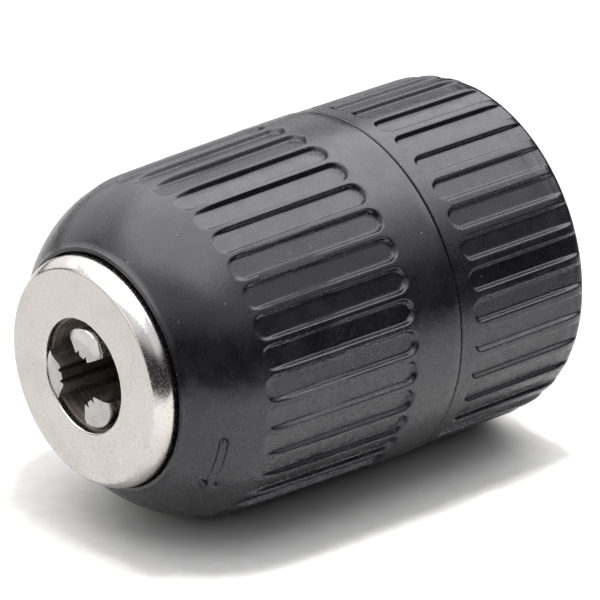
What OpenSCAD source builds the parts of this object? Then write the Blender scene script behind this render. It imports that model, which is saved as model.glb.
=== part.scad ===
// Keyless drill chuck with two sleeves, 13 mm capacity.
// Every piece is drawn with its depth behind the nose face along +Z, then place() lays the
// chuck on its side: nose towards -Y, spindle thread towards +Y, origin at the thread's mouth.

/* [Overall] */
// Length from the nose face to the rear face of the body
chuck_l = 61.2; // [60:0.1:74]
// Largest diameter over the grip sleeve
grip_d = 43.1; // [42.6:0.1:52]
// How far the body stands out behind the rear sleeve
body_proud = 0.8; // [0.4:0.1:1.6]

/* [Jaws] */
// Diameter of each jaw rod
jaw_d = 7.2; // [6:0.1:7.4]
// Angle between a jaw rod and the chuck axis
jaw_angle = 13; // [11:0.5:14]
// Length of a jaw rod
jaw_l = 37; // [34:0.5:38]
// Radius of the jaws' backs where they pass the nose face
jaw_back_r = 6.4; // [6:0.05:6.45]
// Radius of the opening between the jaws as drawn
grip_r = 3.05; // [1.5:0.05:5]
// How far the jaw tips stand out of the nose as drawn
tip_out = 0.75; // [0.2:0.05:2]
// Widest shank that the jaws take
capacity_d = 13; // [12.8:0.1:13.2]
// Half width of the gripping face
grip_half_w = 1.15; // [0.8:0.05:1.2]
// Angle of each flank beside the gripping face
flank_angle = 44; // [40:1:55]
// Radius of the flat end face of the three jaws
tip_flat_r = 4.95; // [4:0.05:5.6]
// Depth of the tapered shoulder around the jaw tips
tip_shoulder = 0.5; // [0.3:0.05:1]
// Depth of each groove along the gripping face
grip_groove = 0.6; // [0.3:0.05:0.8]
// Distance from the middle of the gripping face to each groove
grip_groove_x = 0.68; // [0.5:0.02:0.8]
// Pitch of the thread teeth on the jaws' backs
tooth_pitch = 1.5; // [1:0.1:2]
// Depth of the thread teeth
tooth_depth = 0.7; // [0.4:0.05:0.9]
// Direction of the first jaw, seen from the nose
jaw_turn = 74.4; // [0:0.1:120]

/* [Body] */
// Clearance around the widest shank in the bore of the body
tool_bore_gap = 0.25; // [0.15:0.05:0.35]
// Depth of that bore behind the nose face
tool_bore_l = 40; // [36:0.5:41]
// Diameter of the nose of the body
body_nose_d = 25.2; // [24:0.1:25.6]
// Wall between the jaw guides and the barrel that the bearing sits on
barrel_wall = 0.79; // [0.6:0.01:1.2]
// Diameter at the bottom of the groove for the nut
groove_d = 20.4; // [18:0.1:21]
// Radial gap between the flange behind the bearing and the grip sleeve
flange_gap = 0.97; // [0.4:0.01:1.4]
// Step from the flange up to the seat for the rear sleeve
seat_step = 0.8; // [0.4:0.1:1]
// Length of that seat
seat_l = 3; // [2:0.5:4]
// Diameter of the rear boss around the spindle socket
boss_d = 21; // [19:0.5:22]
// Diameter of the spindle socket, at the crests of its 1/2"-20 UNF thread
socket_d = 11.5; // [11:0.05:11.6]
// Depth of the spindle socket
socket_l = 16; // [12:0.5:18]
// Diameter of the hole for the spindle's locking screw
screw_hole_d = 6.6; // [5.5:0.1:7]
// Radial clearance around each jaw rod
guide_clear = 0.08; // [0.05:0.01:0.1]

/* [Nose ring] */
// Clearance around the widest shank in the mouth
mouth_gap = 0.415; // [0.4:0.005:0.6]
// Wall of the skirt around the nose of the body
ring_skirt = 1.48; // [1:0.01:1.6]
// Thickness of the nose ring's front wall
ring_wall = 1; // [0.8:0.1:1.4]
// Fillet around its front edge
ring_fillet = 2.6; // [1.5:0.1:3]
// Depth of the skirt behind the nose face
ring_l = 8.4; // [7.6:0.1:9]
// Height of the collar that keeps the grip sleeve on
collar_h = 1.2; // [0.8:0.1:1.4]
// Thickness of that collar
collar_l = 1.6; // [1:0.1:2]

/* [Grip sleeve] */
// Depth of its front lip behind the nose face
lip_z = 2.9; // [2.6:0.1:3.4]
// Depth of its rear edge
seam_z = 39.7; // [38.5:0.1:41]
// Radius of the domed front, seen from the side
dome_r = 15.7; // [14:0.1:17]
// Depth where the dome runs into the barrel
dome_z = 15.5; // [14:0.1:16]
// How much the barrel widens from the dome to the seam
barrel_taper = 0.57; // [0:0.01:0.7]
// Radial gap between the bearing races and the inside of the sleeve
race_gap = 0.57; // [0.3:0.01:0.8]
// Radial running clearance on the nose ring
lip_clear = 0.08; // [0.05:0.01:0.1]
// Number of finger slots around each sleeve
slot_count = 35; // [18:1:40]
// Width of a finger slot on the grip sleeve
slot_w = 3.1; // [1.5:0.1:3.2]
// Depth of the finger slots
slot_depth = 0.6; // [0.3:0.05:0.9]
// Depth behind the nose face where the slots start
slot_z0 = 10.6; // [9:0.1:14]
// Depth where the slots end
slot_z1 = 33.2; // [28:0.1:36]
// Direction of the first slot
slot_turn = 15.9; // [0:0.1:20]

/* [Rear sleeve] */
// Gap between the two sleeves
seam_gap = 0.25; // [0.2:0.05:0.6]
// How much lower the rear sleeve's ribs are than the grip sleeve
rear_step = 0.15; // [0:0.05:0.6]
// Clearance around the tails of the jaws when they are fully open
tail_clear = 0.8; // [0.4:0.1:1]
// Thickness of the rear wall
rear_wall = 2.4; // [1.6:0.1:3]
// Rounding of the rear edge
rear_round = 2; // [1:0.1:2.4]
// Width of a slot on the rear sleeve
rear_slot_w = 2.8; // [1.5:0.1:3]
// Distance from the seam to the start of those slots
rear_slot_in = 2.1; // [1.5:0.1:4]
// Direction of the first slot of the rear sleeve
rear_slot_turn = 18.1; // [0:0.1:20]

/* [Nut and bearing] */
// Depth of the nut's front face
nut_z = 17.6; // [16.6:0.1:18.2]
// Length of the nut
nut_l = 8; // [6:0.1:9]
// Wall of the split nut outside the barrel
nut_wall = 1.1; // [0.8:0.1:1.3]
// Clearance between the nut's thread and the jaws' backs
nut_clear = 0.15; // [0.1:0.01:0.3]
// Thickness of the band around the nut
band_t = 0.95; // [0.7:0.05:1]
// Height of the driving lugs on the band
lug_h = 1.3; // [0.8:0.1:1.5]
// Width of the driving lugs
lug_w = 5; // [3:0.1:7]
// Length of the drive ring
drive_l = 10; // [8:0.1:11]
// Fit clearance between pieces that are pressed or stacked together
fit_clear = 0.02; // [0.01:0.01:0.05]
// Thickness of each bearing race
race_t = 1; // [0.8:0.1:1.4]
// Radial width of the bearing races
race_w = 3.6; // [3:0.1:3.8]
// Diameter of the bearing balls
ball_d = 2.38; // [2:0.01:2.6]
// Number of bearing balls
ball_count = 24; // [12:1:28]
// Thickness of the ball cage
cage_t = 1.2; // [0.8:0.1:1.5]
// Radial running clearance of the turning rings on the barrel
ring_clear = 0.08; // [0.05:0.01:0.1]

/* [Hidden] */

// Extra reach of every cutter past the face that it opens
cut = 1;
// Small axial clearance in front of the nut and behind the nose ring's collar
axial_clear = 0.3;
// How far behind its front edge the rear sleeve meets its seat
seat_in = 0.3;
// Bevel on the edges of both sleeves at the seam
edge_bevel = 0.3;
// Bevel around the mouth
mouth_bevel = 0.3;
// Space between the collar and the hollow of the grip sleeve
hollow_gap = 0.6;
jaw_count = 3;
lug_count = 3;
lug_turn = 50;
jaw_r = jaw_d / 2;
jaw_slope = tan(jaw_angle);
jaw_axis_r = jaw_back_r - jaw_r / cos(jaw_angle);

// Radius of the jaws' backs at a depth
function jaw_back_at(z) = jaw_back_r + jaw_slope * z;

// Stations along the axis, as depths behind the nose face
race_z = nut_z + nut_l;
ball_z = race_z + race_t + fit_clear + ball_d / 2;
thrust_z = ball_z + ball_d / 2 + fit_clear;
flange_z = thrust_z + race_t;
rear_z0 = seam_z + seam_gap;
rear_z1 = chuck_l - body_proud;
seat_z = rear_z0 + seat_in;
boss_z = seat_z + seat_l;
socket_z = chuck_l - socket_l;
// Depth that the jaws' tails reach when the jaws are fully open
tail_z = jaw_l * cos(jaw_angle) - tip_out + (capacity_d / 2 - grip_r) / jaw_slope;

// Radii from the jaws outwards
tool_bore_r = capacity_d / 2 + tool_bore_gap;
mouth_r = capacity_d / 2 + mouth_gap;
nose_r = body_nose_d / 2;
ring_r = nose_r + fit_clear + ring_skirt;
collar_r = ring_r + collar_h;
barrel_r = jaw_back_at(flange_z) + guide_clear + barrel_wall;
nut_r = barrel_r + nut_wall;
band_r = nut_r + band_t;
race_r = barrel_r + race_w;
ball_ring_r = (barrel_r + race_r) / 2;
sleeve_bore_r = race_r + race_gap;
flange_r = sleeve_bore_r - flange_gap;
seat_r = flange_r + seat_step;
boss_r = boss_d / 2;
tail_space_r = jaw_back_at(tail_z) + tail_clear;
grip_end_r = grip_d / 2;
rear_r = grip_end_r - rear_step;
dome_end_r = grip_end_r - barrel_taper;
dome_centre_r = dome_end_r - dome_r;

// Teeth start far enough behind the tips that the jaws grip with smooth backs
teeth_from = 15;
tooth_count = floor((jaw_l - teeth_from - 1) / tooth_pitch);

// Radius of the grip sleeve's dome at a depth
function dome_at(z) = dome_centre_r + sqrt(dome_r * dome_r - pow(dome_z - z, 2));

// Points of the dome from the lip to the barrel
function dome_points(steps = 14) = [for (i = [0 : steps])
    let (z = lip_z + (dome_z - lip_z) * i / steps)
    [dome_at(z), z]];

// Points of an arc from one angle to another
function arc_points(centre, r, from, to, steps = 8) = [for (i = [0 : steps])
    let (a = from + (to - from) * i / steps)
    centre + r * [cos(a), sin(a)]];

// Lays a piece drawn along its depth into the frame of the chuck
module place() {
    translate([0, -chuck_l, 0])
        rotate([-90, 0, 0])
            children();
}

// Turns a radius and depth outline about the chuck axis
module turned(points) {
    rotate_extrude($fn = 96)
        polygon(points);
}

// Plain ring between two radii
module ring(r_in, r_out, z, length) {
    translate([0, 0, z])
        difference() {
            cylinder(r = r_out, h = length, $fn = 96);
            translate([0, 0, -cut])
                cylinder(r = r_in, h = length + 2 * cut, $fn = 96);
        }
}

// Puts a piece where one jaw runs, with the jaw's outward direction along +X
module at_jaw(number) {
    rotate([0, 0, -jaw_turn - number * 360 / jaw_count])
        children();
}

// Straight rod along a jaw's path between two distances from the nose face
module jaw_rod(r, from, to) {
    translate([jaw_axis_r, 0, 0])
        rotate([0, jaw_angle, 0])
            translate([0, 0, from])
                cylinder(r = r, h = to - from, $fn = 64);
}

// Steel body with its tool bore, three jaw guides, nut groove and spindle socket
module body() {
    groove_end = race_z + race_t / 4;
    color("#4a4846")
        place()
            difference() {
                turned([
                    [0, ring_wall], [nose_r, ring_wall], [nose_r, ring_l],
                    [barrel_r, ring_l], [barrel_r, nut_z - axial_clear],
                    [groove_d / 2, nut_z - axial_clear], [groove_d / 2, groove_end],
                    [barrel_r, groove_end], [barrel_r, flange_z], [flange_r, flange_z],
                    [flange_r, seat_z], [seat_r, seat_z], [seat_r, boss_z],
                    [boss_r, boss_z], [boss_r, chuck_l], [0, chuck_l]
                ]);
                translate([0, 0, -cut])
                    cylinder(r = tool_bore_r, h = tool_bore_l + cut, $fn = 96);
                cylinder(d = screw_hole_d, h = chuck_l, $fn = 64);
                translate([0, 0, socket_z])
                    cylinder(d = socket_d, h = socket_l + cut, $fn = 96);
                for (i = [0 : jaw_count - 1])
                    at_jaw(i)
                        jaw_rod(jaw_r + guide_clear, -cut, chuck_l);
            }
}

// Plated cap ring that closes the nose and keeps the grip sleeve on
module nose_ring() {
    fillet_centre = [ring_r - ring_fillet, ring_fillet];
    inner_r = nose_r + fit_clear;
    color("#d9d5d0")
        place()
            turned(concat(
                [[mouth_r, mouth_bevel], [mouth_r + mouth_bevel, 0]],
                arc_points(fillet_centre, ring_fillet, -90, 0),
                [[ring_r, ring_l - collar_l], [collar_r, ring_l - collar_l], [collar_r, ring_l],
                 [inner_r, ring_l], [inner_r, ring_wall], [mouth_r, ring_wall]]
            ));
}

// Cutter for one finger slot with round ends, lying along the depth at a radius
module slot_cutter(width, length, floor_r) {
    rotate([90, 0, 90])
        translate([0, 0, floor_r])
            linear_extrude(height = 4)
                union() {
                    translate([-width / 2, width / 2])
                        square([width, length - width]);
                    translate([0, width / 2])
                        circle(d = width, $fn = 32);
                    translate([0, length - width / 2])
                        circle(d = width, $fn = 32);
                }
}

// Black moulded sleeve that the hand turns, with a domed front and finger slots
module front_sleeve() {
    lip_bore = ring_r + lip_clear;
    land_z = ring_l - collar_l - axial_clear;
    hollow_r = collar_r + hollow_gap;
    slot_l = slot_z1 - slot_z0;
    color("#26262a")
        place()
            difference() {
                turned(concat(
                    dome_points(),
                    [[grip_end_r, seam_z - edge_bevel], [grip_end_r - edge_bevel, seam_z],
                     [sleeve_bore_r, seam_z], [sleeve_bore_r, dome_z - 2],
                     [hollow_r, land_z], [lip_bore, land_z], [lip_bore, lip_z]]
                ));
                for (i = [0 : slot_count - 1])
                    rotate([0, 0, -slot_turn + i * 360 / slot_count])
                        translate([0, 0, slot_z0])
                            slot_cutter(slot_w, slot_l, grip_end_r - barrel_taper / 2 - slot_depth);
            }
}

// Black moulded sleeve pressed on the body, held while the grip sleeve turns
module rear_sleeve() {
    bore_r = seat_r + fit_clear;
    round_centre = [rear_r - rear_round, rear_z1 - rear_round];
    slot_from = rear_z0 + rear_slot_in;
    color("#26262a")
        place()
            difference() {
                turned(concat(
                    [[bore_r, rear_z0], [rear_r - edge_bevel, rear_z0], [rear_r, rear_z0 + edge_bevel]],
                    arc_points(round_centre, rear_round, 0, 80),
                    [[rear_r - rear_round - 1, rear_z1], [boss_r + fit_clear, rear_z1],
                     [boss_r + fit_clear, rear_z1 - rear_wall],
                     [tail_space_r, rear_z1 - rear_wall], [tail_space_r, boss_z],
                     [bore_r, boss_z]]
                ));
                for (i = [0 : slot_count - 1])
                    rotate([0, 0, -rear_slot_turn + i * 360 / slot_count])
                        translate([0, 0, slot_from])
                            slot_cutter(rear_slot_w, chuck_l - slot_from + rear_slot_w,
                                        rear_r - slot_depth);
            }
}

// Steel ring pressed in the grip sleeve, notched for the lugs of the nut band
module drive_ring() {
    r_in = band_r + ring_clear;
    z = race_z - drive_l;
    color("#6e7074")
        place()
            difference() {
                ring(r_in, sleeve_bore_r - fit_clear, z, drive_l);
                for (i = [0 : lug_count - 1])
                    rotate([0, 0, lug_turn + i * 360 / lug_count])
                        translate([r_in - cut, -lug_w / 2 - fit_clear * 3, nut_z - fit_clear * 3])
                            cube([lug_h + cut + fit_clear, lug_w + fit_clear * 6, drive_l]);
            }
}

// Steel band around the split nut, with lugs that the drive ring pushes
module nut_band() {
    r_in = nut_r + fit_clear;
    color("#8a8c90")
        place()
            difference() {
                union() {
                    cylinder_at(band_r, nut_z, nut_l);
                    for (i = [0 : lug_count - 1])
                        rotate([0, 0, lug_turn + i * 360 / lug_count])
                            translate([band_r - band_t / 2, -lug_w / 2, nut_z])
                                cube([band_t / 2 + lug_h, lug_w, nut_l]);
                }
                translate([0, 0, -cut])
                    cylinder_at(r_in, nut_z, nut_l + 2 * cut);
            }
}

// Plain cylinder that starts at a depth
module cylinder_at(r, z, length) {
    translate([0, 0, z])
        cylinder(r = r, h = length, $fn = 96);
}

// Half of the split nut, with an internal taper thread that drives the jaws
module nut_half(turn) {
    pitches = floor(nut_l / tooth_pitch);
    rim = (nut_l - pitches * tooth_pitch) / 2;
    split_gap = 0.5;
    thread = [for (i = [pitches - 1 : -1 : 0])
        let (z = nut_z + rim + i * tooth_pitch)
        each [[jaw_back_at(z + tooth_pitch) + nut_clear, z + tooth_pitch],
              [jaw_back_at(z) + nut_clear + tooth_depth, z + tooth_pitch / 2]]];
    color("#a08a5a")
        place()
            rotate([0, 0, turn + split_gap / 2])
                rotate_extrude(angle = 180 - split_gap, $fn = 96)
                    polygon(concat(
                        [[nut_r, nut_z], [nut_r, race_z],
                         [jaw_back_at(race_z) + nut_clear, race_z]],
                        thread,
                        [[jaw_back_at(nut_z + rim) + nut_clear, nut_z + rim],
                         [jaw_back_at(nut_z + rim) + nut_clear, nut_z]]
                    ));
}

module nut_half_a() {
    nut_half(0);
}

module nut_half_b() {
    nut_half(180);
}

// Hardened race that turns with the nut
module nut_washer() {
    color("#b9bcc0")
        place()
            ring(barrel_r + ring_clear, race_r, race_z, race_t);
}

// Hardened race that rests on the ledge of the body
module thrust_washer() {
    color("#b9bcc0")
        place()
            ring(barrel_r + fit_clear, race_r, thrust_z, race_t);
}

// Thin cage that keeps the bearing balls apart
module ball_cage() {
    color("#b58d3d")
        place()
            difference() {
                ring(barrel_r + ring_clear, race_r - ring_clear, ball_z - cage_t / 2, cage_t);
                for (i = [0 : ball_count - 1])
                    rotate([0, 0, i * 360 / ball_count])
                        translate([ball_ring_r, 0, ball_z - cage_t])
                            cylinder(r = ball_d / 2 + ring_clear, h = cage_t * 2, $fn = 32);
            }
}

module bearing_balls() {
    color("#d0d3d6")
        place()
            for (i = [0 : ball_count - 1])
                rotate([0, 0, i * 360 / ball_count])
                    translate([ball_ring_r, 0, ball_z])
                        sphere(d = ball_d, $fn = 32);
}

// Cross-section of what a jaw keeps around its gripping face, in the jaw's own direction
module grip_outline() {
    reach = jaw_d * 3;
    flank_x = grip_r + reach;
    flank_y = grip_half_w + reach * tan(90 - flank_angle);
    groove_half = grip_groove * 0.5;
    polygon([
        [grip_r, -grip_half_w],
        [grip_r, -grip_groove_x - groove_half],
        [grip_r + grip_groove, -grip_groove_x],
        [grip_r, -grip_groove_x + groove_half],
        [grip_r, grip_groove_x - groove_half],
        [grip_r + grip_groove, grip_groove_x],
        [grip_r, grip_groove_x + groove_half],
        [grip_r, grip_half_w],
        [flank_x, flank_y],
        [flank_x, -flank_y]
    ]);
}

// Jaw: a slanted rod with a grooved gripping face, a tapered tip and teeth on its back
module jaw(number) {
    tip_z = -tip_out;
    shoulder_r = jaw_back_at(tip_z + tip_shoulder) - 0.1;
    color("#c9c6c2")
        place()
            difference() {
                intersection() {
                    at_jaw(number)
                        jaw_rod(jaw_r, -jaw_d, jaw_l + tip_z);
                    at_jaw(number)
                        translate([0, 0, -jaw_d])
                            linear_extrude(height = jaw_l + 2 * jaw_d)
                                grip_outline();
                    turned([[0, tip_z], [tip_flat_r, tip_z], [shoulder_r, tip_z + tip_shoulder],
                            [shoulder_r + jaw_d, tip_z + tip_shoulder + jaw_d],
                            [shoulder_r + jaw_d * 3, jaw_l + jaw_d], [0, jaw_l + jaw_d]]);
                }
                for (i = [0 : tooth_count - 1])
                    tooth_groove(tip_z + teeth_from + i * tooth_pitch);
            }
}

// Ring cutter for one thread groove across the jaws' backs
module tooth_groove(z) {
    bottom_r = jaw_back_at(z) - tooth_depth;
    half = tooth_pitch * 0.35;
    over_r = jaw_back_at(z) + tooth_depth;
    turned([[bottom_r, z], [over_r, z - half * 2], [over_r, z + half * 2]]);
}

module jaw_1() {
    jaw(0);
}

module jaw_2() {
    jaw(1);
}

module jaw_3() {
    jaw(2);
}

body();
nose_ring();
front_sleeve();
drive_ring();
nut_half_a();
nut_half_b();
nut_band();
nut_washer();
ball_cage();
bearing_balls();
thrust_washer();
jaw_1();
jaw_2();
jaw_3();
rear_sleeve();
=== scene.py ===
"""Looks of a two-sleeve keyless drill chuck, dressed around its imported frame.

Lengths in the classes are millimetres and go to metres where a mesh is made. The chuck lies on its
side with its nose towards -Y and its spindle socket towards +Y. A depth is the distance behind the
nose face, and a turn is an angle about the chuck's axis from +X towards +Z.
"""

import logging
import math
from dataclasses import dataclass
from enum import Enum
from typing import Any

import bpy
import numpy as np
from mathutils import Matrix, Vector


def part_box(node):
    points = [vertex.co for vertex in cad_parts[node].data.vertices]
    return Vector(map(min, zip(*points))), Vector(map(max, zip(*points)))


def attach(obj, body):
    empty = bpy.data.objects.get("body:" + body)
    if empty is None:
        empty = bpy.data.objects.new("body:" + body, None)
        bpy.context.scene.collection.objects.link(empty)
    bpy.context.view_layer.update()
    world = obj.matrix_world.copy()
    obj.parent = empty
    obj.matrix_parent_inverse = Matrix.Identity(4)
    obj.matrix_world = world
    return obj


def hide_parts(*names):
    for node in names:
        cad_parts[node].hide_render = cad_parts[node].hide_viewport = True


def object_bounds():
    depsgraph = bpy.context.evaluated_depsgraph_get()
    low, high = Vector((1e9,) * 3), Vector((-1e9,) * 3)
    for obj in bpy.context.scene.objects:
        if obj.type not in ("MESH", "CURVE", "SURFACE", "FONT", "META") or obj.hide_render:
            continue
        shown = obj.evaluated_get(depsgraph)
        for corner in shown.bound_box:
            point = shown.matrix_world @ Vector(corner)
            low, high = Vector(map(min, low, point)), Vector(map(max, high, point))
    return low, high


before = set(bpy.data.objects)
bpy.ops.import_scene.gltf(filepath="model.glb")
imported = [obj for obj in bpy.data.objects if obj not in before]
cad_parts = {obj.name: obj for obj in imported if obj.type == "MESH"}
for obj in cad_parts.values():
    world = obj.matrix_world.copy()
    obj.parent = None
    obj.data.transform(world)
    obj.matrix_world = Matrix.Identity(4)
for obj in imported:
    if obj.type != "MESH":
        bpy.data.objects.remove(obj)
CAD_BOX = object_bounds()

MM = 0.001
NOSE_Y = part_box("nose_ring")[0].y
LOG = logging.getLogger("drill_chuck")

NOISE_SPAN = (0.3, 0.7)  # range that most of a noise lies in
CLOUD_SPAN = (0.35, 0.65)  # narrower range, for patches with clearer edges
UV_MARGIN = 0.002  # keeps the bake's texture clear of its edge
SLOT_COUNT = 35  # finger slots round each sleeve


class Body(str, Enum):
    """Moving bodies of the frame that pieces ride on."""

    CHUCK = "chuck_body"
    GRIP = "grip"


class Slot(str, Enum):
    """Material slots of the record, passed along with new pieces."""

    PLASTIC = "black_plastic"
    PLATED = "plated_steel"


# ---------------------------------------------------------------- colours and nodes


def linear(hex_colour: str) -> tuple[float, float, float, float]:
    """Turns an sRGB hex colour into linear light.

    Args:
        hex_colour: Colour as "#rrggbb".

    Returns:
        Linear red, green, blue and an alpha of 1.
    """
    parts = [int(hex_colour[i : i + 2], 16) / 255 for i in (1, 3, 5)]
    light = [c / 12.92 if c <= 0.04045 else ((c + 0.055) / 1.055) ** 2.4 for c in parts]
    return light[0], light[1], light[2], 1.0


def add_node(tree: bpy.types.NodeTree, kind: str, inputs: dict[Any, Any] | None = None,
             **settings: Any) -> bpy.types.Node:
    """Adds one node with its settings, and fills or links its inputs.

    Args:
        tree: Node tree that gets the node.
        kind: Blender's name for the node type.
        inputs: Value or source socket for each input, by input name or number.
        **settings: Properties of the node itself.

    Returns:
        The new node.
    """
    node = tree.nodes.new(kind)
    for name, value in settings.items():
        setattr(node, name, value)
    for key, value in (inputs or {}).items():
        if isinstance(value, bpy.types.NodeSocket):
            tree.links.new(value, node.inputs[key])
        else:
            node.inputs[key].default_value = value
    return node


def noise(tree: bpy.types.NodeTree, where: bpy.types.NodeSocket, grain_mm: float, detail: float = 2.0,
          rough: float = 0.5) -> bpy.types.NodeSocket:
    """Even noise whose lumps have a real size.

    Args:
        tree: Node tree to build in.
        where: Coordinates in metres.
        grain_mm: Size of one lump.
        detail: Octaves of finer noise.
        rough: Strength of the finer octaves.

    Returns:
        Noise between 0 and 1.
    """
    inputs = {"Vector": where, "Scale": 1 / (grain_mm * MM), "Detail": detail, "Roughness": rough}
    return add_node(tree, "ShaderNodeTexNoise", inputs).outputs["Fac"]


def between(tree: bpy.types.NodeTree, value: bpy.types.NodeSocket, low: float, high: float,
            out_low: float = 0.0, out_high: float = 1.0) -> bpy.types.NodeSocket:
    """Stretches a range of a value smoothly onto another range, and clamps it there.

    Args:
        tree: Node tree to build in.
        value: Source value.
        low: Value that becomes out_low.
        high: Value that becomes out_high.
        out_low: Result at low.
        out_high: Result at high.

    Returns:
        The stretched value.
    """
    inputs = {"Value": value, "From Min": low, "From Max": high, "To Min": out_low, "To Max": out_high}
    node = add_node(tree, "ShaderNodeMapRange", inputs, interpolation_type="SMOOTHSTEP")
    return node.outputs["Result"]


def math_of(tree: bpy.types.NodeTree, operation: str, a: Any, b: Any = 0.0) -> bpy.types.NodeSocket:
    """Result of one sum on two values or sockets."""
    return add_node(tree, "ShaderNodeMath", {0: a, 1: b}, operation=operation).outputs[0]


def blend(tree: bpy.types.NodeTree, share: Any, first: Any, second: Any) -> bpy.types.NodeSocket:
    """Mixes two colours.

    Args:
        tree: Node tree to build in.
        share: Share of the second colour, from 0 to 1.
        first: First colour or its socket.
        second: Second colour or its socket.

    Returns:
        The mixed colour.
    """
    node = add_node(tree, "ShaderNodeMix", {"Factor": share}, data_type="RGBA")
    for key, value in (("A", first), ("B", second)):
        socket = next(s for s in node.inputs if s.name == key and s.type == "RGBA")
        if isinstance(value, bpy.types.NodeSocket):
            tree.links.new(value, socket)
        else:
            socket.default_value = value
    return next(s for s in node.outputs if s.type == "RGBA")


def bump(tree: bpy.types.NodeTree, height: bpy.types.NodeSocket, depth_um: float,
         strength: float = 1.0, normal: bpy.types.NodeSocket | None = None) -> bpy.types.NodeSocket:
    """Relief from a height that runs from 0 to 1.

    Args:
        tree: Node tree to build in.
        height: Height pattern.
        depth_um: Real depth of the relief, in micrometres.
        strength: Share of the relief that shows.
        normal: Relief that lies under this one.

    Returns:
        The normal.
    """
    inputs: dict[str, Any] = {"Height": height, "Distance": depth_um * 1e-6, "Strength": strength}
    if normal is not None:
        inputs["Normal"] = normal
    return add_node(tree, "ShaderNodeBump", inputs).outputs["Normal"]


def axis_distance(tree: bpy.types.NodeTree, where: bpy.types.NodeSocket) -> bpy.types.NodeSocket:
    """Distance of a point from the chuck's axis, in metres."""
    flat = add_node(tree, "ShaderNodeVectorMath", {0: where, 1: (1, 0, 1)}, operation="MULTIPLY")
    return add_node(tree, "ShaderNodeVectorMath", {0: flat.outputs[0]}, operation="LENGTH").outputs["Value"]


def turned_place(tree: bpy.types.NodeTree, where: bpy.types.NodeSocket) -> bpy.types.NodeSocket:
    """Distance travelled by a lathe tool at a point: its depth plus its radius, in metres."""
    depth = add_node(tree, "ShaderNodeSeparateXYZ", {0: where}).outputs["Y"]
    return math_of(tree, "ADD", axis_distance(tree, where), depth)


def turned_lines(tree: bpy.types.NodeTree, where: bpy.types.NodeSocket,
                 pitch_mm: float) -> bpy.types.NodeSocket:
    """Uneven rings that a lathe tool leaves, between 0 and 1, at a real pitch."""
    inputs = {"W": turned_place(tree, where), "Scale": 1 / (pitch_mm * MM), "Detail": 1.0}
    return add_node(tree, "ShaderNodeTexNoise", inputs, noise_dimensions="1D").outputs["Fac"]


def specks(tree: bpy.types.NodeTree, where: bpy.types.NodeSocket, spacing_mm: float, radius_mm: float,
           share: float) -> bpy.types.NodeSocket:
    """Scattered round specks.

    Args:
        tree: Node tree to build in.
        where: Coordinates in metres.
        spacing_mm: Mean distance between places where a speck may be.
        radius_mm: Radius of a speck.
        share: Share of the places that hold one.

    Returns:
        1 in a speck and 0 elsewhere.
    """
    cells = add_node(tree, "ShaderNodeTexVoronoi", {"Vector": where, "Scale": 1 / (spacing_mm * MM)})
    red = add_node(tree, "ShaderNodeSeparateColor", {0: cells.outputs["Color"]}).outputs[0]
    edge = radius_mm / spacing_mm
    near = between(tree, cells.outputs["Distance"], edge * 0.6, edge, 1.0, 0.0)
    return math_of(tree, "MULTIPLY", near, math_of(tree, "LESS_THAN", red, share))


@dataclass(frozen=True)
class Finish:
    """One real material with the way its surface was made."""

    name: str
    colour: str

    def start(self) -> tuple[bpy.types.Material, bpy.types.NodeTree, bpy.types.Node, bpy.types.NodeSocket]:
        """Makes the material and its main shader.

        Returns:
            The material, its tree, its shader and the piece's own coordinates.
        """
        material = bpy.data.materials.new(self.name)
        material.use_nodes = True
        tree = material.node_tree
        tree.nodes.clear()
        shader = add_node(tree, "ShaderNodeBsdfPrincipled")
        add_node(tree, "ShaderNodeOutputMaterial", {"Surface": shader.outputs["BSDF"]})
        where = add_node(tree, "ShaderNodeTexCoord").outputs["Object"]
        material.diffuse_color = linear(self.colour)
        return material, tree, shader, where

    def make(self) -> bpy.types.Material:
        """Builds the material; each finish has its own way."""
        raise NotImplementedError


@dataclass(frozen=True)
class MouldedNylon(Finish):
    """Glass-filled nylon, moulded in a spark-eroded tool.

    It gives the eye a satin charcoal with a fine even grain, cloudy patches where the fibres reach
    the skin, a few pale specks of dust, and rubbed patches of uneven gloss.
    """

    patch: str = "#09090b"
    dust: str = "#73716d"
    roughness: float = 0.25
    grain_mm: float = 0.26  # real grain is near 0.1 mm; coarsened so that it shows
    grain_um: float = 26.0
    patch_mm: float = 7.0
    speck_mm: float = 1.4
    speck_r_mm: float = 0.09
    speck_share: float = 0.3
    flow_um: float = 60.0
    ior: float = 1.53
    tint: str = "#f8f7ff"

    def make(self) -> bpy.types.Material:
        """Builds the moulded plastic.

        Returns:
            The material.
        """
        material, tree, shader, where = self.start()
        cloud = between(tree, noise(tree, where, self.patch_mm, 4.0, 0.6), *CLOUD_SPAN)
        base = blend(tree, cloud, linear(self.colour), linear(self.patch))
        dust = specks(tree, where, self.speck_mm, self.speck_r_mm, self.speck_share)
        tree.links.new(blend(tree, dust, base, linear(self.dust)), shader.inputs["Base Color"])
        grain = noise(tree, where, self.grain_mm, 3.0, 0.6)
        rubbed = noise(tree, where, self.patch_mm / 3, 3.0, 0.6)
        low, high = self.roughness - 0.05, self.roughness + 0.09
        wear = math_of(tree, "ADD", math_of(tree, "MULTIPLY", grain, 0.4),
                       math_of(tree, "MULTIPLY", rubbed, 0.6))
        tree.links.new(between(tree, wear, *NOISE_SPAN, low, high), shader.inputs["Roughness"])
        shader.inputs["IOR"].default_value = self.ior
        shader.inputs["Specular Tint"].default_value = linear(self.tint)
        flow = bump(tree, noise(tree, where, self.patch_mm / 2, 2.0), self.flow_um, 0.35)
        tree.links.new(bump(tree, grain, self.grain_um, 0.8, flow), shader.inputs["Normal"])
        return material


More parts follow.
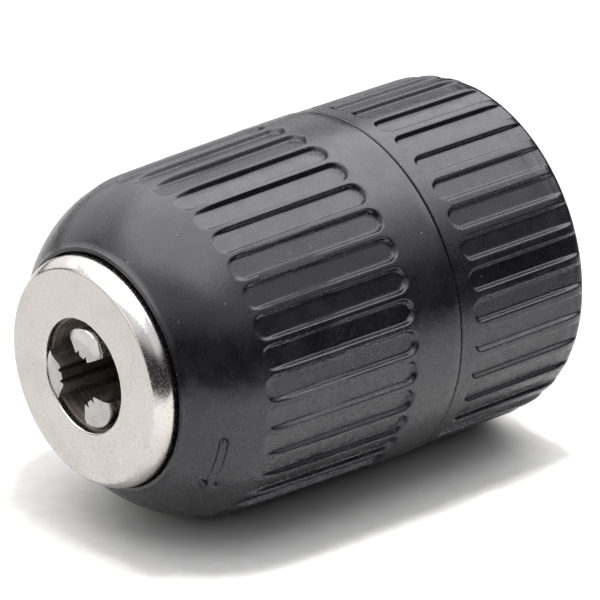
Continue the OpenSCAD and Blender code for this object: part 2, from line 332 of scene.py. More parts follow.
@dataclass(frozen=True)
class SatinNickel(Finish):
    """Steel cap, turned, bead blasted and nickel plated.

    It gives the eye a bright warm grey with a soft sparkle, small dark pits and faint lathe rings
    that the plating did not fill.
    """

    pit: str = "#6d6259"
    stain: str = "#a39c96"
    roughness: float = 0.2
    blast_mm: float = 0.28  # real beads leave marks near 0.1 mm; coarsened so that they show
    blast_um: float = 1.0
    pit_mm: float = 0.8
    pit_r_mm: float = 0.07
    pit_share: float = 0.35
    ring_mm: float = 0.35
    ring_um: float = 4.0

    def make(self) -> bpy.types.Material:
        """Builds the plated steel.

        Returns:
            The material.
        """
        material, tree, shader, where = self.start()
        blast = noise(tree, where, self.blast_mm, 3.0, 0.65)
        pits = specks(tree, where, self.pit_mm, self.pit_r_mm, self.pit_share)
        stain = between(tree, noise(tree, where, 4.0, 4.0, 0.6), 0.4, 0.75, 0.0, 0.25)
        base = blend(tree, stain, linear(self.colour), linear(self.stain))
        base = blend(tree, math_of(tree, "MULTIPLY", pits, 0.6), base, linear(self.pit))
        tree.links.new(base, shader.inputs["Base Color"])
        shader.inputs["Metallic"].default_value = 1.0
        rough = between(tree, blast, *NOISE_SPAN, self.roughness - 0.06, self.roughness + 0.1)
        tree.links.new(rough, shader.inputs["Roughness"])
        rings = bump(tree, turned_lines(tree, where, self.ring_mm), self.ring_um, 0.5)
        tree.links.new(bump(tree, blast, self.blast_um, 0.7, rings), shader.inputs["Normal"])
        return material


@dataclass(frozen=True)
class TurnedSteel(Finish):
    """Steel cut on a lathe, then left bright, ground, or blackened in a phosphate bath.

    It gives the eye fine uneven rings around the axis that catch the light, over a slightly cloudy
    metal colour.
    """

    shade: str = "#3a3633"
    roughness: float = 0.4
    ring_mm: float = 0.3  # tool feed of a finishing cut, drawn up to three times wider to show
    ring_um: float = 12.0
    metallic: float = 1.0
    bright_past_y_mm: float | None = None  # past this place the steel is bright, with a threaded socket
    bright: str = "#a9a8a6"
    bright_shade: str = "#8f8e8d"
    bright_gloss: float = 0.62
    thread_mm: float = 1.27
    thread_r_mm: float = 6.0
    thread_um: float = 420.0

    def make(self) -> bpy.types.Material:
        """Builds the turned steel.

        Returns:
            The material.
        """
        material, tree, shader, where = self.start()
        rings = turned_lines(tree, where, self.ring_mm)
        cloud = noise(tree, where, 2.5, 4.0, 0.6)
        share = math_of(tree, "ADD", math_of(tree, "MULTIPLY", rings, 0.5),
                        math_of(tree, "MULTIPLY", cloud, 0.5))
        base = blend(tree, between(tree, share, *CLOUD_SPAN), linear(self.shade), linear(self.colour))
        tree.links.new(base, shader.inputs["Base Color"])
        shader.inputs["Metallic"].default_value = self.metallic
        rough = between(tree, cloud, *NOISE_SPAN, self.roughness - 0.07, self.roughness + 0.07)
        fine = bump(tree, noise(tree, where, 0.25, 2.0), 4.0, 0.6)
        skin = bump(tree, rings, self.ring_um, 0.8, fine)
        if self.bright_past_y_mm is not None:
            depth = add_node(tree, "ShaderNodeSeparateXYZ", {0: where}).outputs["Y"]
            edge = self.bright_past_y_mm * MM
            bright = between(tree, depth, edge - 0.5 * MM, edge + 0.5 * MM)
            metal = blend(tree, between(tree, share, *NOISE_SPAN), linear(self.bright_shade),
                          linear(self.bright))
            tree.links.new(blend(tree, bright, base, metal), shader.inputs["Base Color"])
            metallic = between(tree, bright, 0.0, 1.0, self.metallic, 1.0)
            tree.links.new(metallic, shader.inputs["Metallic"])
            rough = math_of(tree, "MULTIPLY", rough, between(tree, bright, 0.0, 1.0, 1.0, self.bright_gloss))
            skin = bump(tree, self.thread(tree, where, bright), self.thread_um, 1.0, skin)
        tree.links.new(rough, shader.inputs["Roughness"])
        tree.links.new(skin, shader.inputs["Normal"])
        return material

    def thread(self, tree: bpy.types.NodeTree, where: bpy.types.NodeSocket,
               bright: bpy.types.NodeSocket) -> bpy.types.NodeSocket:
        """Height of the screw thread cut in the socket.

        Args:
            tree: Node tree to build in.
            where: Coordinates in metres.
            bright: 1 in the part of the piece that holds the socket.

        Returns:
            Height from 0 to 1, and 0 outside the socket.
        """
        parts = add_node(tree, "ShaderNodeSeparateXYZ", {0: where})
        lead = math_of(tree, "MULTIPLY", parts.outputs["Y"], 1 / (self.thread_mm * MM))
        angle = math_of(tree, "ARCTAN2", parts.outputs["Z"], parts.outputs["X"])
        phase = math_of(tree, "ADD", lead, math_of(tree, "MULTIPLY", angle, 1 / (2 * math.pi)))
        ridge = math_of(tree, "PINGPONG", phase, 0.5)
        edge = self.thread_r_mm * MM
        inside = between(tree, axis_distance(tree, where), edge, edge + 0.1 * MM, 2.0, 0.0)
        return math_of(tree, "MULTIPLY", ridge, math_of(tree, "MULTIPLY", inside, bright))


@dataclass(frozen=True)
class GroundSteel(Finish):
    """Hardened steel, ground and tumbled.

    It gives the eye a pale grey with soft reflections, short fine grinding scratches and a slightly
    cloudy skin.
    """

    shade: str = "#8e8a86"
    roughness: float = 0.24
    scratch_mm: float = 0.18  # grinding grit leaves finer lines; coarsened so that they show
    polished_from_mm: float = 1000.0  # radius about the chuck's axis past which the piece is polished
    polish: float = 0.4  # share of the roughness that polishing leaves

    def make(self) -> bpy.types.Material:
        """Builds the ground steel.

        Returns:
            The material.
        """
        material, tree, shader, where = self.start()
        stretched = add_node(tree, "ShaderNodeMapping", {"Vector": where, "Scale": (1.0, 0.12, 1.0)})
        scratch = noise(tree, stretched.outputs["Vector"], self.scratch_mm, 2.0, 0.6)
        cloud = noise(tree, where, 1.6, 3.0, 0.5)
        base = blend(tree, between(tree, cloud, 0.3, 0.8), linear(self.colour), linear(self.shade))
        tree.links.new(base, shader.inputs["Base Color"])
        shader.inputs["Metallic"].default_value = 1.0
        rough = between(tree, cloud, *NOISE_SPAN, self.roughness - 0.05, self.roughness + 0.08)
        edge = self.polished_from_mm * MM
        radius = axis_distance(tree, where)
        gloss = between(tree, radius, edge - 0.05 * MM, edge + 0.05 * MM, 1.0, self.polish)
        tree.links.new(math_of(tree, "MULTIPLY", rough, gloss), shader.inputs["Roughness"])
        skin = bump(tree, cloud, 0.8, 0.4)
        tree.links.new(bump(tree, scratch, 0.6, 0.4, skin), shader.inputs["Normal"])
        return material


@dataclass(frozen=True)
class StudioPaper(Finish):
    """Matt white background paper.

    It gives the eye a plain pale floor with a barely seen tooth.
    """

    tooth: str = "#b6b5b2"
    tooth_mm: float = 2.0
    glow: float = 0.0

    def make(self) -> bpy.types.Material:
        """Builds the paper.

        Returns:
            The material.
        """
        material, tree, shader, where = self.start()
        tooth = noise(tree, where, self.tooth_mm, 3.0)
        base = blend(tree, between(tree, tooth, *NOISE_SPAN), linear(self.colour), linear(self.tooth))
        tree.links.new(base, shader.inputs["Base Color"])
        shader.inputs["Roughness"].default_value = 0.95
        shader.inputs["Specular IOR Level"].default_value = 0.1
        shader.inputs["Emission Color"].default_value = linear(self.colour)
        shader.inputs["Emission Strength"].default_value = self.glow
        tree.links.new(bump(tree, tooth, 20.0, 0.2), shader.inputs["Normal"])
        return material


# ---------------------------------------------------------------- meshes of revolution


def smooth_step(value: np.ndarray) -> np.ndarray:
    """Eases a value from 0 to 1, and holds it there outside."""
    held = np.clip(value, 0.0, 1.0)
    return held * held * (3 - 2 * held)


def soft_floor(value: np.ndarray, blur: float) -> np.ndarray:
    """Cuts a value off at 0 with a rounded corner."""
    return 0.5 * (value + np.sqrt(value * value + blur * blur))


def closed_grid(name: str, radius: np.ndarray, depth: np.ndarray, turn: np.ndarray,
                sharp_deg: float = 38.0) -> bpy.types.Object:
    """Makes a watertight turned piece whose outline closes on itself.

    Args:
        name: Name of the piece.
        radius: Radius of each point in mm, one row for each outline point and one column for each turn.
        depth: Depth of each point in mm, with the same layout.
        turn: Turn of each column in radians, rising.
        sharp_deg: Edges that bend by more than this stay crisp.

    Returns:
        The new object, in the row frame.
    """
    rows, columns = radius.shape
    points = np.stack([radius * np.cos(turn), depth + NOSE_Y / MM, radius * np.sin(turn)], -1) * MM
    row, column = np.meshgrid(np.arange(rows), np.arange(columns), indexing="ij")
    below, beside = (row + 1) % rows, (column + 1) % columns
    corners = [(row, column), (below, column), (below, beside), (row, beside)]
    faces = np.stack([r * columns + c for r, c in corners], -1).reshape(-1, 4)
    steps = np.linalg.norm(np.diff(points[:, 0], axis=0, append=points[:1, 0]), axis=1)
    along = np.concatenate([[0.0], np.cumsum(steps)]) / steps.sum()
    around = np.arange(columns + 1) / columns
    ends = [(row, column), (row + 1, column), (row + 1, column + 1), (row, column + 1)]
    flat = np.stack([np.stack([around[c], along[r]], -1) for r, c in ends], 2).reshape(-1, 2)
    if signed_area(radius[:, 0], depth[:, 0]) < 0:
        faces = faces[:, ::-1]
        flat = flat.reshape(-1, 4, 2)[:, ::-1].reshape(-1, 2)
    mesh = bpy.data.meshes.new(name)
    mesh.from_pydata([], [], [])
    mesh.vertices.add(rows * columns)
    mesh.vertices.foreach_set("co", points.reshape(-1).astype(np.float32))
    mesh.loops.add(faces.size)
    mesh.loops.foreach_set("vertex_index", faces.reshape(-1).astype(np.int32))
    mesh.polygons.add(len(faces))
    mesh.polygons.foreach_set("loop_start", np.arange(0, faces.size, 4, dtype=np.int32))
    mesh.update(calc_edges=True)
    layer = mesh.uv_layers.new(name="OFBake")
    layer.uv.foreach_set("vector", (UV_MARGIN + (1 - 2 * UV_MARGIN) * flat).astype(np.float32).ravel())
    mesh.polygons.foreach_set("use_smooth", np.ones(len(faces), bool))
    mesh.set_sharp_from_angle(angle=math.radians(sharp_deg))
    mesh.validate()
    piece = bpy.data.objects.new(name, mesh)
    bpy.context.scene.collection.objects.link(piece)
    return piece


def signed_area(radius: np.ndarray, depth: np.ndarray) -> float:
    """Area inside a closed outline, whose sign says which way it runs."""
    after_r, after_z = np.roll(radius, -1), np.roll(depth, -1)
    return float(np.sum(radius * after_z - after_r * depth) / 2)


def arc(centre: tuple[float, float], radius: float, start: float, end: float,
        steps: int) -> list[tuple[float, float]]:
    """Points of an arc in an outline.

    Args:
        centre: Radius and depth of the arc's centre.
        radius: Radius of the arc itself.
        start: First angle in degrees, from outwards towards deeper.
        end: Last angle in degrees.
        steps: Number of pieces that the arc is cut into.

    Returns:
        Radius and depth of each point.
    """
    angles = np.radians(np.linspace(start, end, steps + 1))
    return [(centre[0] + radius * math.cos(a), centre[1] + radius * math.sin(a)) for a in angles]


def spread(*parts: tuple[float, float, int]) -> np.ndarray:
    """Joins evenly spaced stretches, each given by its start, its end and its number of steps."""
    joined = [np.linspace(start, end, steps, endpoint=False) for start, end, steps in parts]
    return np.concatenate([*joined, [parts[-1][1]]])


def place_piece(piece: bpy.types.Object, body: Body, slot: Slot, material: bpy.types.Material,
                *nodes: str) -> None:
    """Lets a new piece stand for frame nodes, ride on their body and take its finish.

    Args:
        piece: The new piece.
        body: Body that it rides on.
        slot: Material slot of the record; not used.
        material: Its finish.
        *nodes: Nodes that it stands for.
    """
    piece.data.materials.clear()
    piece.data.materials.append(material)
    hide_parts(*nodes)
    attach(piece, body.value)
    LOG.info("%s: %d faces, rides on %s", piece.name, len(piece.data.polygons), body.value)


def dress_node(node: str, material: bpy.types.Material) -> None:
    """Gives a frame node its finish.

    Args:
        node: Name of the node.
        material: Its finish.
    """
    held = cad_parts[node]
    if not held.data.materials:
        held.data.materials.append(material)
    for slot in held.material_slots:
        slot.material = material
    LOG.info("%s: kept from the frame, %s", node, material.name)


@dataclass
class FingerSlots:
    """Ring of shallow grip slots moulded in a sleeve, with sizes in mm and its first turn in degrees."""

    count: int
    half_width: float
    wall: float
    first_turn: float
    corner: float
    lip: float = 0.03

    @property
    def pitch(self) -> float:
        """Angle from one slot to the next, in radians."""
        return 2 * math.pi / self.count

    def columns(self, radius: float) -> np.ndarray:
        """Turns of the mesh columns, closest together at the slot walls.

        Args:
            radius: Radius at which the slot's width is measured.

        Returns:
            Rising turns in radians for the whole ring.
        """
        half_pitch = self.pitch / 2 * radius
        foot, top = self.half_width - self.wall, self.half_width + self.lip
        half = spread((0.0, foot, 4), (foot, top, 6), (top, half_pitch, 2))
        offsets = np.concatenate([-half[:0:-1], half[:-1]]) / radius
        starts = math.radians(self.first_turn) + self.pitch * np.arange(self.count)
        return (starts[:, None] + offsets[None, :]).reshape(-1)

    def off_centre(self, turn: np.ndarray) -> np.ndarray:
        """Angle of each point from the middle of its nearest slot, in radians."""
        around = (turn - math.radians(self.first_turn)) / self.pitch
        return (around - np.round(around)) * self.pitch

    def mask(self, radius: np.ndarray, depth: np.ndarray, turn: np.ndarray, start: float,
             end: float) -> np.ndarray:
        """How deep in a slot each point lies, from 0 on the sleeve to 1 on the slot's floor.

        Args:
            radius: Radius of the sleeve at each point.
            depth: Depth of each point.
            turn: Turn of each point.
            start: Depth at which the slots start.
            end: Depth at which they end.

        Returns:
            Share of the slot's depth at each point.
        """
        across = np.abs(self.off_centre(turn)) * radius
        middle, half_length = (start + end) / 2, (end - start) / 2
        side = across - (self.half_width - self.corner)
        lengthwise = np.abs(depth - middle) - (half_length - self.corner)
        outside = np.hypot(np.maximum(side, 0), np.maximum(lengthwise, 0))
        distance = outside + np.minimum(np.maximum(side, lengthwise), 0) - self.corner
        return smooth_step((self.lip - distance) / self.wall)


@dataclass
class GripSleeve:
    """Black moulded sleeve that the hand turns, with a domed front and 35 finger slots."""

    dome_r: float = 15.7
    dome_depth: float = 15.5
    dome_centre_r: float = 5.28
    taper: float = 0.0335
    crown: float = 0.000426
    lip_depth: float = 2.78
    lip_bore_r: float = 14.24
    lip_outer_r: float = 14.91
    seam_depth: float = 39.7
    seam_round: float = 0.14
    bore_r: float = 18.37
    hollow_r: float = 15.9
    land_depth: float = 6.5
    slot_start: float = 10.6
    slot_end: float = 33.2
    floor_start_r: float = 20.25
    floor_end_r: float = 20.8
    rib_height: float = 0.6
    foot_blur: float = 0.06
    arrow_depth: float = 6.6
    arrow_from: float = -12.7
    arrow_tip: float = -38.7
    arrow_half: float = 0.2
    arrow_flat: float = 1.45
    arrow_height: float = 0.3
    barb_deg: float = 3.6
    barb_width: float = 0.62
    moat_depth: float = 0.24
    moat_off: float = 0.34
    moat_half: float = 0.11

    def outer(self, depth: np.ndarray) -> np.ndarray:
        """Radius of the sleeve without its slots.

        Args:
            depth: Depth of each point.

        Returns:
            Radius at each point.
        """
        join = self.dome_depth - self.taper * self.dome_r
        dome = self.dome_centre_r + np.sqrt(self.dome_r**2 - np.minimum(depth - self.dome_depth, 0) ** 2)
        join_r = self.dome_centre_r + math.sqrt(self.dome_r**2 - (join - self.dome_depth) ** 2)
        past = depth - join
        return np.where(depth < join, dome, join_r + self.taper * past - self.crown * past**2)

    def arrow(self, radius: np.ndarray, depth: np.ndarray, turn: np.ndarray) -> np.ndarray:
        """Height of the moulded arrow that shows which way the sleeve tightens, in mm.

        Args:
            radius: Radius of the sleeve at each point.
            depth: Depth of each point.
            turn: Turn of each point.

        Returns:
            Height above the sleeve, below 0 in the fine moat round the arrow.
        """
        degrees = (np.degrees(turn) + 180) % 360 - 180
        per_degree = math.radians(1.0) * radius
        across, along = depth - self.arrow_depth, (self.arrow_tip - degrees) * per_degree
        shaft = (self.arrow_tip - self.arrow_from, 0.0)
        barbs = [(-self.barb_deg, side * self.barb_width) for side in (-1.0, 1.0)]
        off_line = np.full(radius.shape, np.inf)
        for start_deg, start_across in [shaft, *barbs]:  # each line runs from here to the tip
            start_along = start_deg * per_degree
            run, rise = -start_along, -start_across
            share = ((along - start_along) * run + (across - start_across) * rise) / (run**2 + rise**2)
            share = np.clip(share, 0, 1)
            gap = np.hypot(along - start_along - share * run, across - start_across - share * rise)
            off_line = np.minimum(off_line, gap)
        ridge = self.arrow_height * smooth_step(self.arrow_flat - off_line / self.arrow_half)
        moat = self.moat_depth * np.exp(-((off_line - self.moat_off) / self.moat_half) ** 2)
        return ridge - moat

    def build(self) -> bpy.types.Object:
        """Builds the sleeve as one closed shell.

        Returns:
            The sleeve.
        """
        slots = FingerSlots(count=SLOT_COUNT, half_width=1.62, wall=0.46, first_turn=15.9, corner=1.6)
        turn = slots.columns(self.floor_end_r + self.rib_height)
        depth = spread((3.1, 5.7, 7), (5.7, 7.5, 22), (7.5, 10.2, 6), (10.2, 14.0, 23), (14.0, 31.0, 11),
                       (31.0, 33.7, 21), (33.7, self.seam_depth - self.seam_round, 5))
        grid_depth, grid_turn = np.meshgrid(depth, turn, indexing="ij")
        skin = self.outer(grid_depth)
        share = (grid_depth - self.slot_start) / (self.slot_end - self.slot_start)
        floor = self.floor_start_r + (self.floor_end_r - self.floor_start_r) * share
        floor = floor / np.cos(slots.off_centre(grid_turn))
        mask = slots.mask(skin, grid_depth, grid_turn, self.slot_start, self.slot_end)
        cut = soft_floor(skin - floor, self.foot_blur) * mask
        skin = skin - cut + self.arrow(skin, grid_depth, grid_turn)
        end_r = float(self.outer(np.array([self.seam_depth]))[0])
        inner = [
            *arc((end_r - self.seam_round, self.seam_depth - self.seam_round), self.seam_round, 30, 90, 3),
            (self.bore_r + 0.3, self.seam_depth), (self.bore_r, self.seam_depth - 0.3),
            (self.bore_r, self.dome_depth - 2), (self.hollow_r, self.land_depth),
            (self.lip_bore_r, self.land_depth), (self.lip_bore_r, self.lip_depth + 0.15),
            (self.lip_bore_r + 0.08, self.lip_depth), (self.lip_outer_r - 0.16, self.lip_depth + 0.05),
            (self.lip_outer_r - 0.04, self.lip_depth + 0.2),
        ]
        inner_r, inner_z = (np.repeat(np.array(inner)[:, i : i + 1], len(turn), 1) for i in (0, 1))
        all_r, all_z = np.vstack([skin, inner_r]), np.vstack([grid_depth, inner_z])
        return closed_grid("grip_sleeve_shell", all_r, all_z, turn)

    def dress(self, material: bpy.types.Material) -> None:
        """Builds the sleeve and gives it its plastic."""
        place_piece(self.build(), Body.GRIP, Slot.PLASTIC, material, "front_sleeve")


@dataclass
class RearSleeve:
    """Black moulded sleeve fixed on the body, with slots that run out over its rear edge."""

    front_depth: float = 39.95
    front_round: float = 0.28
    rear_depth: float = 60.4
    skin_r: float = 21.43
    slot_start: float = 42.05
    slot_cut: float = 0.58
    slot_past: float = 8.0  # the slots would end this far past the sleeve, so they run out over its edge
    edge_depths: tuple[float, ...] = (0.0, 57.0, 58.0, 58.8, 59.4, 59.8, 60.1, 60.3, 60.4)
    edge_radii: tuple[float, ...] = (21.43, 21.4, 21.33, 21.2, 21.02, 20.82, 20.56, 20.25, 19.9)
    run_out_depths: tuple[float, ...] = (56.5, 58.6, 59.5, 60.1)
    run_out_shares: tuple[float, ...] = (1.0, 0.72, 0.3, 0.0)
    face_radii: tuple[float, float] = (19.3, 18.6)
    bore_r: float = 18.22
    boss_r: float = 10.52
    hollow_r: float = 18.8
    wall: float = 2.4
    seat_depth: float = 43.25

    def build(self) -> bpy.types.Object:
        """Builds the sleeve as one closed shell.

        Returns:
            The sleeve.
        """
        slots = FingerSlots(count=SLOT_COUNT, half_width=1.44, wall=0.42, first_turn=18.1, corner=1.25)
        turn = slots.columns(self.skin_r)
        start = self.front_depth + self.front_round
        depth = spread((start, 40.6, 2), (40.6, 41.7, 2), (41.7, 43.9, 18), (43.9, 56.5, 8), (56.5, 60.4, 22))
        radius = np.interp(depth, self.edge_depths, self.edge_radii)
        grid_depth, grid_turn = np.meshgrid(depth, turn, indexing="ij")
        skin = np.repeat(radius[:, None], len(turn), 1)
        mask = slots.mask(skin, grid_depth, grid_turn, self.slot_start, self.rear_depth + self.slot_past)
        run_out = np.interp(depth, self.run_out_depths, self.run_out_shares)[:, None]
        rise = skin * (1 / np.cos(slots.off_centre(grid_turn)) - 1)
        skin = skin - (self.slot_cut - rise) * mask * run_out
        face = np.repeat(np.array(self.face_radii)[:, None], len(turn), 1)
        inner = [
            (self.boss_r + 0.25, self.rear_depth), (self.boss_r, self.rear_depth - 0.25),
            (self.boss_r, self.rear_depth - self.wall), (self.hollow_r - 1.0, self.rear_depth - self.wall),
            (self.hollow_r, self.rear_depth - self.wall - 1.0), (self.hollow_r, self.seat_depth),
            (self.bore_r, self.seat_depth), (self.bore_r, self.front_depth),
            *arc((self.skin_r - self.front_round, start), self.front_round, -90, -12, 5),
        ]
        inner_r, inner_z = (np.repeat(np.array(inner)[:, i : i + 1], len(turn), 1) for i in (0, 1))
        all_r = np.vstack([skin, face, inner_r])
        all_z = np.vstack([grid_depth, np.full(face.shape, self.rear_depth), inner_z])
        return closed_grid("rear_sleeve_shell", all_r, all_z, turn)

    def dress(self, material: bpy.types.Material) -> None:
        """Builds the sleeve and gives it its plastic."""
        place_piece(self.build(), Body.CHUCK, Slot.PLASTIC, material, "rear_sleeve")


@dataclass
class NoseCap:
    """Plated ring that closes the nose, with a wide flat face and a deep round shoulder."""

    mouth_r: float = 6.915
    mouth_round: float = 0.3
    crease_r: float = 12.95
    crease_deg: float = 43.0
    crease_round: float = 0.45
    slope_bend: float = 4.0
    bead_deg: float = 60.0
    bead_bend: float = 1.83
    bead_end_deg: float = 108.0
    neck_step: float = 0.12
    neck_run: float = 1.0
    chamfer: float = 0.1
    collar_r: float = 15.3
    collar_depth: float = 6.8
    rear_depth: float = 8.4
    bore_r: float = 12.62
    wall: float = 1.0
    columns: int = 320

    def build(self) -> bpy.types.Object:
        """Builds the cap as one closed ring.

        Returns:
            The cap.
        """
        round_centre = (self.mouth_r + self.mouth_round, self.mouth_round)
        start = math.radians(self.crease_deg)
        fillet_r = self.crease_r - self.crease_round * math.tan(start / 2)
        face = [(r, 0.0) for r in np.linspace(self.mouth_r + self.mouth_round + 0.5, fillet_r - 0.3, 6)]
        fillet = arc((fillet_r, self.crease_round), self.crease_round, -90, self.crease_deg - 90, 6)
        slope_centre = (fillet[-1][0] - self.slope_bend * math.sin(start),
                        fillet[-1][1] + self.slope_bend * math.cos(start))
        slope = arc(slope_centre, self.slope_bend, self.crease_deg - 90, self.bead_deg - 90, 10)[1:]
        meet = math.radians(self.bead_deg)
        bead_centre = (slope[-1][0] - self.bead_bend * math.sin(meet),
                       slope[-1][1] + self.bead_bend * math.cos(meet))
        bead = arc(bead_centre, self.bead_bend, self.bead_deg - 90, self.bead_end_deg - 90, 18)[1:]
        neck_r = bead[-1][0] - self.neck_step
        outline = [
            (self.mouth_r, self.wall - 0.08), *arc(round_centre, self.mouth_round, 180, 270, 6), *face,
            *fillet, *slope, *bead, (neck_r, bead[-1][1] + self.neck_run),
            (neck_r, self.collar_depth), (self.collar_r - self.chamfer, self.collar_depth),
            (self.collar_r, self.collar_depth + self.chamfer),
            (self.collar_r, self.rear_depth - self.chamfer),
            (self.collar_r - self.chamfer, self.rear_depth), (self.bore_r, self.rear_depth),
            (self.bore_r, self.wall), (self.mouth_r + 0.08, self.wall),
        ]
        turn = np.linspace(0, 2 * math.pi, self.columns, endpoint=False)
        radius, depth = (np.repeat(np.array(outline)[:, i : i + 1], len(turn), 1) for i in (0, 1))
        return closed_grid("nose_cap", radius, depth, turn)

    def dress(self, material: bpy.types.Material) -> None:
        """Builds the cap and gives it its plating."""
        place_piece(self.build(), Body.CHUCK, Slot.PLATED, material, "nose_ring")


@dataclass
class Works:
    """Steel body, jaws, nut and bearing inside the two sleeves."""

    jaw_count: int = 3

    def dress(self) -> None:
        """Gives every inner piece its finish."""
        body = TurnedSteel("phosphated_steel_turned", "#a3988e", shade="#5e544c", roughness=0.5, ring_mm=0.3,
                           ring_um=14.0, metallic=0.35, bright_past_y_mm=-18.0)
        jaws = GroundSteel("hardened_steel_ground", "#b2b0ae", shade="#a3a09e", roughness=0.3,
                           scratch_mm=0.18, polished_from_mm=4.95)
        nut = TurnedSteel("nut_steel_turned", "#8f9194", shade="#5f6164", roughness=0.36, ring_mm=0.4,
                          ring_um=10.0)
        race = TurnedSteel("bearing_steel_ground_races", "#c3c4c6", shade="#8d8e90", roughness=0.2,
                           ring_mm=0.2, ring_um=3.0)
        brass = TurnedSteel("cage_brass_stamped", "#c9a35c", shade="#8f6f35", roughness=0.32, ring_mm=0.5,
                            ring_um=6.0)
        ball = GroundSteel("bearing_steel_polished_balls", "#d8d9db", shade="#b8b9bb", roughness=0.1)
        finishes: dict[str, Finish] = {
            "body": body, "drive_ring": nut, "nut_half_a": nut, "nut_half_b": nut, "nut_band": nut,
            "nut_washer": race, "thrust_washer": race, "ball_cage": brass, "bearing_balls": ball,
        }
        finishes.update({f"jaw_{i + 1}": jaws for i in range(self.jaw_count)})
        made = {finish.name: finish.make() for finish in dict.fromkeys(finishes.values())}
        for node, finish in finishes.items():
            dress_node(node, made[finish.name])


# ---------------------------------------------------------------- studio


@dataclass
class SoftBox:
    """Flat studio lamp with a soft edge, aimed at the chuck unless told otherwise."""

    name: str
    place: tuple[float, float, float]
    width: float
    height: float
    radiance: float
    mirrored: bool = True
    aim: tuple[float, float, float] = (0.0, 0.0, 0.0)
    spread_deg: float = 180.0

    def build(self) -> None:
        """Hangs the lamp, with its power worked out from how bright its face is."""
        data = bpy.data.lights.new(self.name, "AREA")
        data.shape = "RECTANGLE"
        data.size, data.size_y = self.width, self.height
        data.energy = self.radiance * math.pi * self.width * self.height
        data.spread = math.radians(self.spread_deg)
        lamp = bpy.data.objects.new(self.name, data)
        bpy.context.scene.collection.objects.link(lamp)
        lamp.location = self.place
        lamp.visible_glossy = self.mirrored
        lamp.visible_camera = False
        lamp.rotation_mode = "QUATERNION"
        lamp.rotation_quaternion = (Vector(self.aim) - Vector(self.place)).to_track_quat("-Z", "Y")


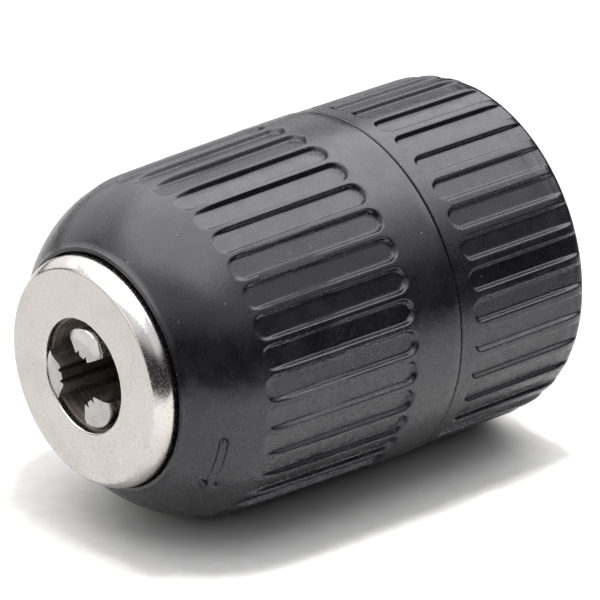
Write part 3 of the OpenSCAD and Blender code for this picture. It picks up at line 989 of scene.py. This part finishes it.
@dataclass
class Studio:
    """Pale paper floor, soft lamps, dim surroundings and the camera."""

    azimuth: float = 49.4
    elevation: float = 24.2
    distance: float = 0.6801
    aim: tuple[float, float, float] = (0.0, -0.028, 0.0)
    lens: float = 341.9
    horizon: tuple[float, float] = (0.33, 0.54)  # heights where the dim horizon ends and the ceiling starts
    corner: tuple[float, float, float] = (0.692, -0.594, 0.41)  # direction of the duller corner
    corner_edge: tuple[float, float] = (0.93, 0.965)  # cosines of its outer and inner edge
    corner_light: float = 0.65
    room_dark: str = "#29292c"
    room_light: str = "#f2f3f9"
    room_strength: float = 1.25
    table_centre: tuple[float, float] = (-0.1, 0.0)
    table_r: float = 0.23
    floor_r: float = 0.8
    wall_r: float = 2.6
    wall_height: float = 1.6
    floor_drop: float = 0.00002
    rim_points: int = 96

    def stage_mesh(self, name: str, points: list[tuple[float, float, float]], faces: list[list[int]],
                   material: bpy.types.Material) -> bpy.types.Object:
        """Sets up one sheet of paper that isn't part of the chuck.

        Args:
            name: Name of the sheet.
            points: Its corners in metres.
            faces: Its faces, as numbers of corners.
            material: Its finish.

        Returns:
            The sheet.
        """
        mesh = bpy.data.meshes.new(name)
        mesh.from_pydata(points, [], faces)
        mesh.materials.append(material)
        sheet = bpy.data.objects.new(name, mesh)
        bpy.context.scene.collection.objects.link(sheet)
        return sheet

    def rim(self, centre: tuple[float, float], radius: float,
            height: float) -> list[tuple[float, float, float]]:
        """Points of a level circle, in metres.

        Args:
            centre: Its middle.
            radius: Its radius.
            height: Its height above the floor.

        Returns:
            The points, all round.
        """
        turn = np.linspace(0, 2 * math.pi, self.rim_points, endpoint=False)
        level = CAD_BOX[0].z - self.floor_drop + height
        return [(centre[0] + radius * math.cos(a), centre[1] + radius * math.sin(a), level) for a in turn]

    def paper(self, material: bpy.types.Material) -> None:
        """Lays the floor, which reflects only near the chuck, and a far wall that only the camera sees.

        Args:
            material: Finish of the paper.
        """
        count = self.rim_points
        band = [[i, (i + 1) % count, count + (i + 1) % count, count + i] for i in range(count)]
        near = self.rim(self.table_centre, self.table_r, 0.0)
        middle = self.rim((0.0, 0.0), self.floor_r, 0.0)
        self.stage_mesh("paper_table", near, [list(range(count))], material)
        self.stage_mesh("paper_floor", near + middle, band, material).visible_glossy = False
        glow = StudioPaper("white_paper_wall", "#ffffff", glow=1.0).make()
        far, top = (self.rim((0.0, 0.0), self.wall_r, height) for height in (0.0, self.wall_height))
        for name, points in (("paper_far", middle + far), ("paper_wall", far + top)):
            sheet = self.stage_mesh(name, points, band, glow)
            sheet.visible_glossy = sheet.visible_diffuse = sheet.visible_shadow = False

    def surroundings(self) -> None:
        """Gives the room a dim horizon, a duller corner and a bright ceiling, which the reflections need."""
        world = bpy.data.worlds.new("studio_room")
        bpy.context.scene.world = world
        world.use_nodes = True
        tree = world.node_tree
        tree.nodes.clear()
        where = add_node(tree, "ShaderNodeTexCoord").outputs["Generated"]
        height = add_node(tree, "ShaderNodeSeparateXYZ", {0: where}).outputs["Z"]
        share = between(tree, height, *self.horizon)
        toward = add_node(tree, "ShaderNodeVectorMath", {0: where, 1: self.corner}, operation="DOT_PRODUCT")
        corner = between(tree, toward.outputs["Value"], *self.corner_edge, 1.0, self.corner_light)
        share = math_of(tree, "MULTIPLY", share, corner)
        light = blend(tree, share, linear(self.room_dark), linear(self.room_light))
        back = add_node(tree, "ShaderNodeBackground", {"Color": light, "Strength": self.room_strength})
        add_node(tree, "ShaderNodeOutputWorld", {"Surface": back.outputs[0]})

    def camera(self) -> None:
        """Sets the camera at the angle that the chuck is shown from."""
        a, e = math.radians(self.azimuth), math.radians(self.elevation)
        back = Vector((math.sin(a) * math.cos(e), -math.cos(a) * math.cos(e), math.sin(e)))
        data = bpy.data.cameras.new("studio_camera")
        data.lens, data.sensor_width = self.lens, 36.0
        data.clip_start, data.clip_end = 0.01, 100.0
        eye = bpy.data.objects.new("studio_camera", data)
        bpy.context.scene.collection.objects.link(eye)
        eye.location = Vector(self.aim) + back * self.distance
        eye.rotation_mode = "QUATERNION"
        eye.rotation_quaternion = (-back).to_track_quat("-Z", "Y")
        bpy.context.scene.camera = eye

    def build(self) -> None:
        """Sets up the whole studio."""
        self.paper(StudioPaper("white_paper_matt", "#bbbab8").make())
        lamps = (
            SoftBox("lamp_overhead", (-0.3, -0.1, 1.9), width=3.0, height=3.0, radiance=3.0),
            SoftBox("lamp_behind", (-0.1, 0.8, 0.75), width=1.3, height=0.55, radiance=2.75),
            SoftBox("lamp_front", (-0.8, -2.0, 0.62), width=2.7, height=1.25, radiance=1.5),
            SoftBox("lamp_floor", (0.1, -0.04, 0.55), width=0.16, height=0.16, radiance=1.6, mirrored=False,
                    aim=(0.085, -0.045, -0.02), spread_deg=13.0),
            SoftBox("lamp_left", (-2.0, 0.3, 0.7), width=2.4, height=1.3, radiance=1.4),
        )
        for lamp in lamps:
            lamp.build()
        self.surroundings()
        self.camera()
        bpy.context.scene.view_settings.view_transform = "Standard"


def main() -> None:
    """Builds every piece in order and reports it."""
    logging.basicConfig(level=logging.INFO, format="%(name)s: %(message)s")
    nylon = MouldedNylon("nylon_black_moulded", "#0f0f11").make()
    GripSleeve().dress(nylon)
    RearSleeve().dress(nylon)
    NoseCap().dress(SatinNickel("nickel_satin_plated", "#c3beba").make())
    Works().dress()
    Studio().build()


if __name__ == "__main__":
    main()
